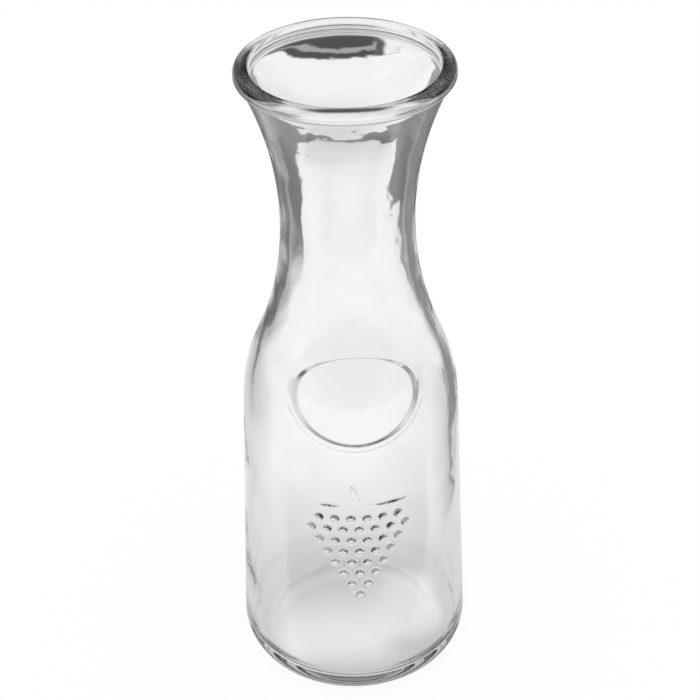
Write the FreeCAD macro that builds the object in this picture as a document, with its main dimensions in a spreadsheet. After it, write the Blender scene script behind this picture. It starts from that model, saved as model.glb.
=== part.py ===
"""One-litre glass carafe with a wide mouth, modelled as one moulded piece of glass.

The carafe stands on the XY plane with its axis on Z. Its ornament, a bare oval medallion above a
bunch of grapes, faces -Y. All sizes are in millimetres and angles in degrees.
"""

import FreeCAD, Part
import enum
import math
import os
import Sketcher

Vector = FreeCAD.Vector

# Driving dimensions

SIZES = {
    # Whole vessel
    "overall_height": 272.0,
    "wall_thickness": 3.6,
    # Foot: heel round, bevel and round below it, flat standing ring, push-up and glass above that
    "heel_radius": 12.0,
    "heel_bevel": 42.0,
    "foot_rounding": 3.0,
    "ring_width": 4.0,
    "punt_rise": 4.0,
    "floor_thickness": 5.0,
    "floor_crown_radius": 320.0,
    "inner_heel_radius": 9.0,
    # Body: radius of its wall line at table level, and how far that line leans in
    "body_radius": 48.35,
    "body_taper": 2.29,
    # Shoulder and neck
    "shoulder_radius": 83.0,
    "waist_radius": 25.5,
    "waist_drop": 62.6,
    # Mouth, rolled lip and the collar band under it
    "mouth_radius": 34.3,
    "mouth_land": 5.2,
    "mouth_rounding": 1.2,
    "lip_overhang": 1.8,
    "lip_height": 5.0,
    "lip_rounding": 2.6,
    "lip_under_rounding": 1.5,
    "collar_height": 5.8,
    "collar_step": 0.3,
    # Medallion: a sunk oval with a shallow margin round it
    "medallion_drop": 123.3,
    "medallion_width": 47.2,
    "medallion_tall": 34.0,
    "medallion_depth": 1.5,
    "margin_width": 2.2,
    "margin_depth": 0.25,
    # Bunch of grapes: half-round berries in rows, one row pitch apart
    "cluster_drop": 51.7,
    "berry_radius": 1.85,
    "berry_sink": 0.15,
    "berry_pitch": 6.35,
    "row_pitch": 5.5,
    # Stalk and the two leaf ridges above the berries
    "stalk_height": 0.5,
    "stalk_length": 9.4,
    "stalk_width": 2.5,
    "stalk_rise": 11.7,
    "stalk_shift": 1.5,
    "stalk_lean": 16.7,
    "leaf_height": 1.1,
    "leaf_rise": 6.2,
    "leaf_width": 1.8,
    "left_leaf_length": 9.3,
    "left_leaf_shift": 11.7,
    "right_leaf_length": 17.0,
    "right_leaf_shift": 12.9,
}

# Berries in each row, from the top of the bunch down
BERRY_ROWS = (6, 7, 6, 5, 4, 3, 2, 1)

# How far a cutting or relief solid runs past the glass
OVERRUN = 5.0

# Most of the lip's height that its upper and its lower round may take, and most of its overhang
UPPER_OF_HEIGHT = 0.55
LOWER_OF_HEIGHT = 0.4
LOWER_OF_OVERHANG = 0.9

# Cubic millimetres in a millilitre
MM3_PER_ML = 1000.0


class Axis(enum.IntEnum):
    """Geometry numbers of a sketch's own axes."""

    HORIZONTAL = -1
    VERTICAL = -2


class Point(enum.IntEnum):
    """Numbers of the points of an edge."""

    START = 1
    END = 2
    CENTRE = 3


HORIZONTAL_AXIS, VERTICAL_AXIS = Axis
START, END, CENTRE = Point

doc = FreeCAD.newDocument("glass_carafe")
sheet = doc.addObject("Spreadsheet::Sheet", "Sizes")


def fill_sheet():
    """Writes each driving dimension to the sheet under its own alias."""
    for row, (alias, value) in enumerate(SIZES.items(), start=1):
        sheet.set(f"A{row}", alias)
        sheet.set(f"B{row}", str(value))
        sheet.setAlias(f"B{row}", alias)
    doc.recompute()


def size(alias):
    """The number that the sheet holds for a dimension."""
    return float(getattr(sheet, alias))


class Wall:
    """Starting coordinates of the wall line, shoulder arc and neck arc, set in by an offset.

    The wall line leans in by the taper, the neck arc bulges in to the waist, and the shoulder arc
    touches both. An offset moves all three square to the glass, so the arcs keep their centres.
    """

    def __init__(self, offset):
        taper = math.radians(size("body_taper"))
        self.taper = taper
        self.base_radius = size("body_radius") - offset / math.cos(taper)
        self.waist_height = size("overall_height") - size("waist_drop")
        self.neck_radius = neck_sweep() + offset
        self.neck_x = size("waist_radius") + neck_sweep()
        self.shoulder_radius = size("shoulder_radius") - offset
        self.shoulder_z = self.shoulder_height()
        self.shoulder_x = self.line_x(self.shoulder_z) - self.shoulder_radius / math.cos(taper)
        self.turn = math.atan2(self.waist_height - self.shoulder_z, self.neck_x - self.shoulder_x)

    def shoulder_height(self):
        """Height of the shoulder's centre, where its circle touches the neck's circle."""
        slope = math.tan(self.taper)
        inset = size("shoulder_radius") / math.cos(self.taper)
        reach = self.neck_x - size("body_radius") + inset
        apart = size("shoulder_radius") + neck_sweep()
        a = slope**2 + 1
        b = 2 * (reach * slope - self.waist_height)
        c = reach**2 + self.waist_height**2 - apart**2
        return (-b - math.sqrt(b * b - 4 * a * c)) / (2 * a)

    def line_x(self, height):
        """Radius of the wall line at a height."""
        return self.base_radius - height * math.tan(self.taper)

    def neck_point(self, height):
        """Point of the neck arc at a height."""
        sagitta = math.sqrt(self.neck_radius**2 - (height - self.waist_height) ** 2)
        return Vector(self.neck_x - sagitta, height, 0)


def neck_sweep():
    """Outer radius of the neck's sweep: its inner face runs from the waist to the mouth's land."""
    flare = size("mouth_radius") - size("waist_radius") + size("wall_thickness")
    climb = size("waist_drop") - size("mouth_land")
    return (climb**2 + flare**2) / (2 * flare) - size("wall_thickness")


NECK_SWEEP = (
    "((Sizes.waist_drop - Sizes.mouth_land)^2"
    " + (Sizes.mouth_radius - Sizes.waist_radius + Sizes.wall_thickness)^2)"
    " / (2 * (Sizes.mouth_radius - Sizes.waist_radius + Sizes.wall_thickness))"
    " - Sizes.wall_thickness"
)
WAIST_HEIGHT = "Sizes.overall_height - Sizes.waist_drop"
MEDALLION_HEIGHT = "Sizes.overall_height - Sizes.medallion_drop"
FIRST_ROW_HEIGHT = f"{MEDALLION_HEIGHT} - Sizes.cluster_drop"
TAPER = "(Sizes.body_taper * 1 deg)"


# Sketch helpers


class Profile:
    """A sketch on one of a body's own planes, with its edges and bound constraints."""

    def __init__(self, body, name, role):
        self.sketch = body.newObject("Sketcher::SketchObject", name)
        plane = next(item for item in body.Origin.OriginFeatures if item.Role == role)
        self.sketch.AttachmentSupport = [(plane, "")]
        self.sketch.MapMode = "FlatFace"

    def line(self, start, end, construction=False):
        """Adds a straight edge."""
        return self.sketch.addGeometry(Part.LineSegment(start, end), construction)

    def arc(self, centre, radius, start, end):
        """Adds an arc that runs counter-clockwise between two angles in radians."""
        circle = Part.Circle(centre, Vector(0, 0, 1), radius)
        return self.sketch.addGeometry(Part.ArcOfCircle(circle, start, end), False)

    def tie(self, kind, *items):
        """Adds a constraint with no size of its own."""
        return self.sketch.addConstraint(Sketcher.Constraint(kind, *items))

    def join(self, *ends):
        """Makes each pair of edge ends in the list one point."""
        for edge_a, end_a, edge_b, end_b in ends:
            self.tie("Coincident", edge_a, end_a, edge_b, end_b)

    def drive(self, expression, kind, *items):
        """Adds a sized constraint and binds it to the sheet."""
        index = self.sketch.addConstraint(Sketcher.Constraint(kind, *items))
        self.sketch.setExpression(f"Constraints[{index}]", expression)

    def place(self, edge, end, across, up):
        """Holds a point at bound distances from the sketch's origin."""
        point = self.sketch.getPoint(edge, end)
        self.drive(across, "DistanceX", HORIZONTAL_AXIS, START, edge, end, point.x)
        self.drive(up, "DistanceY", HORIZONTAL_AXIS, START, edge, end, point.y)

    def wall(self, wall, inset, low, top):
        """Adds the wall line, shoulder arc and neck arc, touching one another.

        wall holds starting coordinates, inset is the bound offset into the glass, low the height
        where the line starts and top the height where the neck arc ends.
        """
        gauge_foot = Vector(wall.base_radius, 0, 0)
        gauge_head = Vector(wall.line_x(wall.waist_height), wall.waist_height, 0)
        gauge = self.line(gauge_foot, gauge_head, True)
        foot = f"Sizes.body_radius - ({inset}) / cos({TAPER})"
        self.place(gauge, START, foot, "0")
        self.place(gauge, END, f"{foot} - ({WAIST_HEIGHT}) * tan({TAPER})", WAIST_HEIGHT)

        shoulder_centre = Vector(wall.shoulder_x, wall.shoulder_z, 0)
        shoulder = self.arc(shoulder_centre, wall.shoulder_radius, wall.taper, wall.turn)
        line_top = self.sketch.getPoint(shoulder, START)
        body = self.line(Vector(wall.line_x(low), low, 0), line_top)
        neck_centre = Vector(wall.neck_x, wall.waist_height, 0)
        neck_top = math.pi - math.asin((top - wall.waist_height) / wall.neck_radius)
        neck = self.arc(neck_centre, wall.neck_radius, neck_top, math.pi + wall.turn)

        self.tie("PointOnObject", body, START, gauge)
        self.tie("PointOnObject", body, END, gauge)
        self.tie("Tangent", body, END, shoulder, START)
        self.tie("Tangent", shoulder, END, neck, END)
        self.drive(f"Sizes.shoulder_radius - ({inset})", "Radius", shoulder, wall.shoulder_radius)
        self.drive(f"{NECK_SWEEP} + ({inset})", "Radius", neck, wall.neck_radius)
        self.place(neck, CENTRE, f"Sizes.waist_radius + {NECK_SWEEP}", WAIST_HEIGHT)
        return body, neck

    def lens(self, centre_x, centre_z, length, width, lean):
        """Adds a slim pointed oval of two equal arcs, bound by expressions and leaning by an angle.

        Each argument is a pair of the starting number and the expression that drives it.
        """
        half_x = length[0] / 2 * math.sin(lean[0])
        half_z = length[0] / 2 * math.cos(lean[0])
        radius = (length[0] ** 2 + width[0] ** 2) / (4 * width[0])
        spread = math.asin(length[0] / 2 / radius)
        inset = radius - width[0] / 2
        facing = -lean[0]
        side = Vector(math.cos(facing), math.sin(facing), 0)
        middle = Vector(centre_x[0], centre_z[0], 0)
        right = self.arc(middle - side * inset, radius, facing - spread, facing + spread)
        turned = facing + math.pi
        left = self.arc(middle + side * inset, radius, turned - spread, turned + spread)
        self.join((right, END, left, START), (right, START, left, END))
        bound_x = f"({length[1]}) / 2 * sin({lean[1]})"
        bound_z = f"({length[1]}) / 2 * cos({lean[1]})"
        top_x = f"{centre_x[1]} + {bound_x}"
        low_x = f"{centre_x[1]} - {bound_x}"
        self.drive(top_x, "DistanceX", HORIZONTAL_AXIS, START, right, END, centre_x[0] + half_x)
        self.drive(f"{centre_z[1]} + {bound_z}", "DistanceY", HORIZONTAL_AXIS, START, right, END,
                   centre_z[0] + half_z)
        self.drive(low_x, "DistanceX", HORIZONTAL_AXIS, START, right, START, centre_x[0] - half_x)
        self.drive(f"{centre_z[1]} - {bound_z}", "DistanceY", HORIZONTAL_AXIS, START, right, START,
                   centre_z[0] - half_z)
        bound_radius = f"(({length[1]})^2 + ({width[1]})^2) / (4 * ({width[1]}))"
        self.drive(bound_radius, "Radius", right, radius)
        self.tie("Equal", right, left)


def new_body(name):
    """Adds an empty body."""
    return doc.addObject("PartDesign::Body", name)


def turned(body, name, profile):
    """Turns a profile once round the vessel's axis."""
    feature = body.newObject("PartDesign::Revolution", name)
    feature.Profile = profile.sketch
    feature.ReferenceAxis = (profile.sketch, ["V_Axis"])
    feature.Angle = 360
    return feature


# Pieces of the form


def outer_form():
    """Solid form of the outside: foot, heel, body, shoulder, neck, collar and rolled lip."""
    body = new_body("outer_form")
    profile = Profile(body, "outer_profile", "XZ_Plane")
    wall = Wall(0.0)
    height = size("overall_height")
    collar_foot = height - size("collar_height")
    lip_foot = height - size("lip_height")
    heel = size("heel_radius")
    body_line, neck = profile.wall(wall, "0", heel * (1 + math.sin(wall.taper)), collar_foot)
    neck_end = wall.neck_point(collar_foot)
    collar_x = neck_end.x + size("collar_step")
    lip_x = collar_x + size("lip_overhang")
    upper = min(size("lip_rounding"), UPPER_OF_HEIGHT * size("lip_height"))
    lower = min(
        size("lip_under_rounding"),
        LOWER_OF_OVERHANG * size("lip_overhang"),
        LOWER_OF_HEIGHT * size("lip_height"),
    )

    heel_x = wall.line_x(heel) - heel / math.cos(wall.taper)
    slant = math.radians(size("heel_bevel"))
    heel_arc = profile.arc(Vector(heel_x, heel, 0), heel, slant - math.pi / 2, wall.taper)
    foot = size("foot_rounding")
    foot_x = heel_x + (heel - foot) * math.tan(slant / 2)
    foot_arc = profile.arc(Vector(foot_x, foot, 0), foot, -math.pi / 2, slant - math.pi / 2)
    bevel = profile.line(
        profile.sketch.getPoint(foot_arc, END), profile.sketch.getPoint(heel_arc, START)
    )
    punt_x = foot_x - size("ring_width")
    ring = profile.line(Vector(foot_x, 0, 0), Vector(punt_x, 0, 0))
    rise = size("punt_rise")
    punt_radius = (punt_x**2 + rise**2) / (2 * rise)
    punt_start = math.acos(punt_x / punt_radius)
    punt = profile.arc(Vector(0, rise - punt_radius, 0), punt_radius, punt_start, math.pi / 2)

    step = profile.line(neck_end, Vector(collar_x, collar_foot, 0))
    collar = profile.line(Vector(collar_x, collar_foot, 0), Vector(collar_x, lip_foot, 0))
    low_centre = Vector(lip_x - lower, lip_foot + lower, 0)
    under = profile.line(Vector(collar_x, lip_foot, 0), Vector(low_centre.x, lip_foot, 0))
    low_round = profile.arc(low_centre, lower, -math.pi / 2, 0)
    top_centre = Vector(lip_x - upper, height - upper, 0)
    top_round = profile.arc(top_centre, upper, 0, math.pi / 2)
    face = profile.line(Vector(lip_x, low_centre.y, 0), Vector(lip_x, top_centre.y, 0))
    top = profile.line(Vector(top_centre.x, height, 0), Vector(0, height, 0))
    axis = profile.line(Vector(0, height, 0), Vector(0, rise, 0))

    profile.tie("Tangent", heel_arc, END, body_line, START)
    profile.tie("Tangent", bevel, END, heel_arc, START)
    profile.tie("Tangent", foot_arc, END, bevel, START)
    profile.tie("Tangent", ring, START, foot_arc, START)
    profile.tie("Tangent", under, END, low_round, START)
    profile.tie("Tangent", low_round, END, face, START)
    profile.tie("Tangent", face, END, top_round, START)
    profile.tie("Tangent", top_round, END, top, START)
    profile.join(
        (ring, END, punt, START),
        (neck, START, step, START),
        (step, END, collar, START),
        (collar, END, under, START),
        (top, END, axis, START),
        (axis, END, punt, END),
    )
    for edge in (ring, step, under, top):
        profile.tie("Horizontal", edge)
    for edge in (collar, face, axis):
        profile.tie("Vertical", edge)
    profile.tie("PointOnObject", ring, START, HORIZONTAL_AXIS)
    profile.tie("PointOnObject", axis, START, VERTICAL_AXIS)
    profile.tie("PointOnObject", punt, CENTRE, VERTICAL_AXIS)
    profile.drive("Sizes.heel_radius", "Radius", heel_arc, heel)
    profile.drive("Sizes.heel_radius", "DistanceY", HORIZONTAL_AXIS, START, heel_arc, CENTRE, heel)
    profile.drive("Sizes.heel_bevel * 1 deg", "Angle", bevel, slant)
    profile.drive("Sizes.foot_rounding", "Radius", foot_arc, foot)
    profile.drive("Sizes.ring_width", "DistanceX", ring, END, ring, START, size("ring_width"))
    profile.drive("Sizes.punt_rise", "DistanceY", HORIZONTAL_AXIS, START, punt, END, rise)
    profile.drive("Sizes.collar_height", "DistanceY", collar, START, axis, START,
                  size("collar_height"))
    profile.drive("Sizes.lip_height", "DistanceY", under, START, axis, START, size("lip_height"))
    profile.drive("Sizes.collar_step", "DistanceX", step, START, step, END, size("collar_step"))
    profile.drive("Sizes.lip_overhang", "DistanceX", collar, END, face, START,
                  size("lip_overhang"))
    bound_upper = f"min(Sizes.lip_rounding; {UPPER_OF_HEIGHT} * Sizes.lip_height)"
    bound_lower = (
        f"min(Sizes.lip_under_rounding; {LOWER_OF_OVERHANG} * Sizes.lip_overhang;"
        f" {LOWER_OF_HEIGHT} * Sizes.lip_height)"
    )
    profile.drive(bound_upper, "Radius", top_round, upper)
    profile.drive(bound_lower, "Radius", low_round, lower)
    profile.drive("Sizes.overall_height", "DistanceY", HORIZONTAL_AXIS, START, axis, START, height)
    turned(body, "outer_turning", profile)
    return body


def cavity():
    """Solid form of the hollow inside, from the crowned floor up through the mouth."""
    body = new_body("cavity")
    profile = Profile(body, "cavity_profile", "XZ_Plane")
    wall = Wall(size("wall_thickness"))
    height = size("overall_height")
    land_foot = height - size("mouth_land")
    floor = size("punt_rise") + size("floor_thickness")
    heel = size("inner_heel_radius")
    crown = size("floor_crown_radius")
    heel_z = floor + heel
    heel_x = wall.line_x(heel_z) - heel / math.cos(wall.taper)
    heel_z -= heel_x**2 / (2 * crown)
    tilt = math.asin(heel_x / (crown + heel))
    low = heel_z + heel * math.sin(wall.taper)
    body_line, neck = profile.wall(wall, "Sizes.wall_thickness", low, land_foot)

    heel_centre = Vector(heel_x, heel_z, 0)
    heel_arc = profile.arc(heel_centre, heel, -math.pi / 2 - tilt, wall.taper)
    floor_arc = profile.arc(Vector(0, floor - crown, 0), crown, math.pi / 2 - tilt, math.pi / 2)
    mouth_x = size("mouth_radius")
    rounding = size("mouth_rounding")
    flare_x = mouth_x + rounding
    land = profile.line(Vector(mouth_x, land_foot, 0), Vector(mouth_x, height - rounding, 0))
    rim_centre = Vector(flare_x, height - rounding, 0)
    rim = profile.arc(rim_centre, rounding, math.pi / 2, math.pi)
    above = height + OVERRUN
    rise = profile.line(Vector(flare_x, height, 0), Vector(flare_x, above, 0))
    top = profile.line(Vector(flare_x, above, 0), Vector(0, above, 0))
    axis = profile.line(Vector(0, above, 0), Vector(0, floor, 0))

    profile.tie("Tangent", heel_arc, END, body_line, START)
    profile.tie("Tangent", floor_arc, START, heel_arc, START)
    profile.tie("Tangent", land, END, rim, END)
    profile.join(
        (neck, START, land, START),
        (rim, START, rise, START),
        (rise, END, top, START),
        (top, END, axis, START),
        (axis, END, floor_arc, END),
    )
    for edge in (land, rise, axis):
        profile.tie("Vertical", edge)
    profile.tie("Horizontal", top)
    profile.tie("PointOnObject", axis, START, VERTICAL_AXIS)
    profile.tie("PointOnObject", floor_arc, CENTRE, VERTICAL_AXIS)
    profile.drive("Sizes.inner_heel_radius", "Radius", heel_arc, heel)
    profile.drive("Sizes.floor_crown_radius", "Radius", floor_arc, crown)
    profile.drive("Sizes.mouth_rounding", "Radius", rim, rounding)
    profile.drive("Sizes.mouth_radius", "DistanceX", HORIZONTAL_AXIS, START, land, START, mouth_x)
    profile.drive("Sizes.mouth_rounding", "DistanceX", land, END, rise, START, rounding)
    profile.drive("Sizes.overall_height", "DistanceY", HORIZONTAL_AXIS, START, rim, START, height)
    profile.drive("Sizes.punt_rise + Sizes.floor_thickness", "DistanceY", HORIZONTAL_AXIS, START,
                  axis, END, floor)
    profile.drive(str(OVERRUN), "DistanceY", rise, START, rise, END, OVERRUN)
    turned(body, "cavity_turning", profile)
    return body


def sunk_form(name, depth):
    """The outside up to the waist, set in by a depth: the ground that a sunk panel is cut down to."""
    body = new_body(name)
    profile = Profile(body, f"{name}_profile", "XZ_Plane")
    wall = Wall(size(depth))
    body_line, neck = profile.wall(wall, f"Sizes.{depth}", 0.0, wall.waist_height)
    waist = wall.neck_point(wall.waist_height)
    top = profile.line(waist, Vector(0, waist.y, 0))
    axis = profile.line(Vector(0, waist.y, 0), Vector(0, 0, 0))
    foot = profile.line(Vector(0, 0, 0), Vector(wall.base_radius, 0, 0))
    profile.join(
        (neck, START, top, START),
        (top, END, axis, START),
        (axis, END, foot, START),
        (foot, END, body_line, START),
    )
    profile.tie("Horizontal", top)
    profile.tie("Horizontal", foot)
    profile.tie("Vertical", axis)
    profile.tie("Coincident", axis, END, HORIZONTAL_AXIS, START)
    profile.drive(WAIST_HEIGHT, "DistanceY", HORIZONTAL_AXIS, START, axis, START, waist.y)
    turned(body, f"{name}_turning", profile)
    return body


def oval_prism(name, wider):
    """A level prism towards -Y with the medallion's oval section, wider all round by an expression."""
    prism = doc.addObject("Part::Ellipse", f"{name}_oval")
    prism.setExpression("MajorRadius", f"Sizes.medallion_width / 2 + {wider}")
    prism.setExpression("MinorRadius", f"Sizes.medallion_tall / 2 + {wider}")
    prism.Placement = FreeCAD.Placement(Vector(), FreeCAD.Rotation(Vector(1, 0, 0), 90))
    prism.setExpression("Placement.Base.z", MEDALLION_HEIGHT)
    block = doc.addObject("Part::Extrusion", f"{name}_prism")
    block.Base = prism
    block.DirMode = "Custom"
    block.Dir = Vector(0, -1, 0)
    block.setExpression("LengthFwd", f"Sizes.body_radius + {OVERRUN}")
    block.Solid = True
    return block


def sunk_panel(name, depth, wider):
    """Cutter for one level of the medallion: its prism, down to the sunk form."""
    cutter = doc.addObject("Part::Cut", name)
    cutter.Base = oval_prism(name, wider)
    cutter.Tool = sunk_form(f"{name}_ground", depth)
    return cutter


def berries():
    """Half-round berries in rows, each a half ball set into the wall with its pole outwards."""
    balls = []
    for row, count in enumerate(BERRY_ROWS):
        height = f"({FIRST_ROW_HEIGHT} - {row} * Sizes.row_pitch)"
        radius = f"(Sizes.body_radius - {height} * tan({TAPER}))"
        seat = f"({radius} - Sizes.berry_sink)"
        for place in range(count):
            steps = place - (count - 1) / 2
            angle = f"({steps} * Sizes.berry_pitch / {radius} * 1 rad)"
            spot = f"vector({seat} * sin({angle}); -{seat} * cos({angle}); {height})"
            swing = f"rotation(vector(0; 0; 1); {angle}) * rotation(vector(1; 0; 0); 90 deg)"
            ball = doc.addObject("Part::Sphere", f"berry_{row + 1}_{place + 1}")
            ball.Angle1 = 0
            ball.setExpression("Radius", "Sizes.berry_radius")
            ball.setExpression("Placement", f"placement({spot}; {swing})")
            balls.append(ball)
    return balls


def low_relief(name, height, lenses):
    """Low pads with pointed oval outlines, level with a skin that stands proud of the wall."""
    body = new_body(name)
    profile = Profile(body, f"{name}_outline", "XZ_Plane")
    for lens in lenses:
        profile.lens(*lens)
    pad = body.newObject("PartDesign::Pad", f"{name}_pad")
    pad.Profile = profile.sketch
    pad.setExpression("Length", f"Sizes.body_radius + {OVERRUN}")
    skin = doc.addObject("Part::Cone", f"{name}_skin")
    proud = f"Sizes.{height} / cos({TAPER})"
    skin.setExpression("Radius1", f"Sizes.body_radius + {proud}")
    skin.setExpression("Radius2", f"Sizes.body_radius + {proud} - ({WAIST_HEIGHT}) * tan({TAPER})")
    skin.setExpression("Height", WAIST_HEIGHT)
    relief = doc.addObject("Part::Common", f"{name}_relief")
    relief.Base = body
    relief.Tool = skin
    return relief


def stalk_and_leaves():
    """The flat stalk, and the higher ridges of the leaves on both sides of it."""
    row_height = size("overall_height") - size("medallion_drop") - size("cluster_drop")
    stalk = (
        (-size("stalk_shift"), "-Sizes.stalk_shift"),
        (row_height + size("stalk_rise"), f"{FIRST_ROW_HEIGHT} + Sizes.stalk_rise"),
        (size("stalk_length"), "Sizes.stalk_length"),
        (size("stalk_width"), "Sizes.stalk_width"),
        (-math.radians(size("stalk_lean")), "-Sizes.stalk_lean * 1 deg"),
    )
    leaves = [
        (
            (sign * size(f"{side}_leaf_shift"), f"{sign} * Sizes.{side}_leaf_shift"),
            (row_height + size("leaf_rise"), f"{FIRST_ROW_HEIGHT} + Sizes.leaf_rise"),
            (size(f"{side}_leaf_length"), f"Sizes.{side}_leaf_length"),
            (size("leaf_width"), "Sizes.leaf_width"),
            (math.pi / 2, "90 deg"),
        )
        for side, sign in (("left", -1), ("right", 1))
    ]
    return [low_relief("stalk", "stalk_height", [stalk]), low_relief("leaves", "leaf_height", leaves)]


def glass_carafe():
    """The finished glass: the outside with its raised ornament, less the medallion and the hollow."""
    raised = doc.addObject("Part::MultiFuse", "raised_form")
    raised.Shapes = [outer_form(), *stalk_and_leaves(), *berries()]
    hollow = doc.addObject("Part::MultiFuse", "hollows")
    hollow.Shapes = [
        cavity(),
        sunk_panel("medallion_margin", "margin_depth", "Sizes.margin_width"),
        sunk_panel("medallion_field", "medallion_depth", "0"),
    ]
    glass = doc.addObject("Part::Cut", "glass_carafe")
    glass.Base = raised
    glass.Tool = hollow
    glass.Label = "glass_carafe"
    glass.Placement = FreeCAD.Placement()
    return glass


def check(pieces):
    """Stops the build if any object failed or any piece isn't one sound solid."""
    for item in doc.Objects:
        if {"Invalid", "Error"} & set(item.State):
            raise RuntimeError(f"{item.Name} failed: {item.State}")
    for piece in pieces:
        shape = piece.Shape
        if shape.isNull() or not shape.isValid():
            raise RuntimeError(f"{piece.Label} has no sound shape")
        if len(shape.Solids) != 1:
            raise RuntimeError(f"{piece.Label} has {len(shape.Solids)} solids")


def main():
    """Builds the carafe and writes its piece."""
    fill_sheet()
    pieces = [glass_carafe()]
    doc.recompute()
    check(pieces)
    os.makedirs("parts", exist_ok=True)
    for piece in pieces:
        piece.Shape.exportStep(f"parts/{piece.Label}.step")
        print(f"{piece.Label}: {piece.Shape.Volume / MM3_PER_ML:.1f} ml of glass")


main()
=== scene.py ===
"""Looks of a one-litre glass carafe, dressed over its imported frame.

The glass is one closed skin: it runs from the push-up under the foot, up the outside, over the lip
and down the inside to the middle of the floor. Sizes are in millimetres and become metres where a
mesh is made. Angles round the axis are counted from the ornament, which faces -Y, towards +X.
"""

import enum
import logging
import math
from collections.abc import Mapping, Sequence
from dataclasses import dataclass, field
from typing import Any

import bpy
import numpy as np
from mathutils import Matrix, Vector


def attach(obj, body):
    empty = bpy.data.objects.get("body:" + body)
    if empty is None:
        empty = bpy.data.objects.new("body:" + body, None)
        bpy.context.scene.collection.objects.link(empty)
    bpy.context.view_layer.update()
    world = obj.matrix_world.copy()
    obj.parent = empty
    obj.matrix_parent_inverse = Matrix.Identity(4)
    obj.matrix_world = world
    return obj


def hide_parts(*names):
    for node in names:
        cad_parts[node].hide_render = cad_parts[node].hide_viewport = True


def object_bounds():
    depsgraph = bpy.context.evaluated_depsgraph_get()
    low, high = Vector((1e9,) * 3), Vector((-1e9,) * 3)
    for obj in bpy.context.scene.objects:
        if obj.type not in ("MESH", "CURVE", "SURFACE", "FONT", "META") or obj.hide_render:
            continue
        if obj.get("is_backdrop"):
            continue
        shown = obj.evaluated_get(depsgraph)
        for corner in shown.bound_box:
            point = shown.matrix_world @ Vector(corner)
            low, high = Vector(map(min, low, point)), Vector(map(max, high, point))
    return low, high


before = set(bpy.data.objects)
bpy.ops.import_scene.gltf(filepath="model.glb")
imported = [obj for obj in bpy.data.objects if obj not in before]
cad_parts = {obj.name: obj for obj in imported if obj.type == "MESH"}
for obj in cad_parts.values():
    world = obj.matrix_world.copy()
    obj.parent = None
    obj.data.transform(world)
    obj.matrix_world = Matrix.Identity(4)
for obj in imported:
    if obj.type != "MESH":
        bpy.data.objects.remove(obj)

MM = 0.001

Array = np.ndarray
log = logging.getLogger("carafe")


def smooth(share: Array) -> Array:
    """Eases a share from 0 to 1, with level ends: 3 s^2 - 2 s^3.

    Args:
        share: Numbers of any range, which are held between 0 and 1.

    Returns:
        The eased shares.
    """
    held = np.clip(share, 0.0, 1.0)
    return held * held * (3.0 - 2.0 * held)


# Shader nodes


class Value:
    """A socket that carries one number, with arithmetic that adds Math nodes."""

    def __init__(self, board: "NodeBoard", socket: bpy.types.NodeSocket) -> None:
        """Keeps the socket and the board that its node lies on."""
        self.board = board
        self.socket = socket

    def maths(self, operation: str, *terms: Any) -> "Value":
        """Adds one Math node.

        Args:
            operation: The node's operation.
            terms: Its inputs, as numbers or values.

        Returns:
            The node's result.
        """
        inputs = dict(enumerate(terms))
        made = self.board.node("ShaderNodeMath", {"operation": operation}, inputs)
        return Value(self.board, made.outputs[0])

    def __add__(self, other: Any) -> "Value":
        """This value plus another."""
        return self.maths("ADD", self, other)

    def __radd__(self, other: Any) -> "Value":
        """Another value plus this one."""
        return self.maths("ADD", other, self)

    def __sub__(self, other: Any) -> "Value":
        """This value less another."""
        return self.maths("SUBTRACT", self, other)

    def __rsub__(self, other: Any) -> "Value":
        """Another value less this one."""
        return self.maths("SUBTRACT", other, self)

    def __mul__(self, other: Any) -> "Value":
        """This value times another."""
        return self.maths("MULTIPLY", self, other)

    def __rmul__(self, other: Any) -> "Value":
        """Another value times this one."""
        return self.maths("MULTIPLY", other, self)

    def larger(self, other: Any) -> "Value":
        """The larger of this value and another."""
        return self.maths("MAXIMUM", self, other)

    def eased(self, low: float, high: float) -> "Value":
        """Adds a Map Range node that eases from 0 to 1.

        Args:
            low: Where it leaves 0.
            high: Where it reaches 1.

        Returns:
            The eased share.
        """
        inputs = {"Value": self, "From Min": low, "From Max": high}
        return self.board.value(
            "ShaderNodeMapRange", "Result", {"interpolation_type": "SMOOTHSTEP"}, inputs
        )


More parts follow.
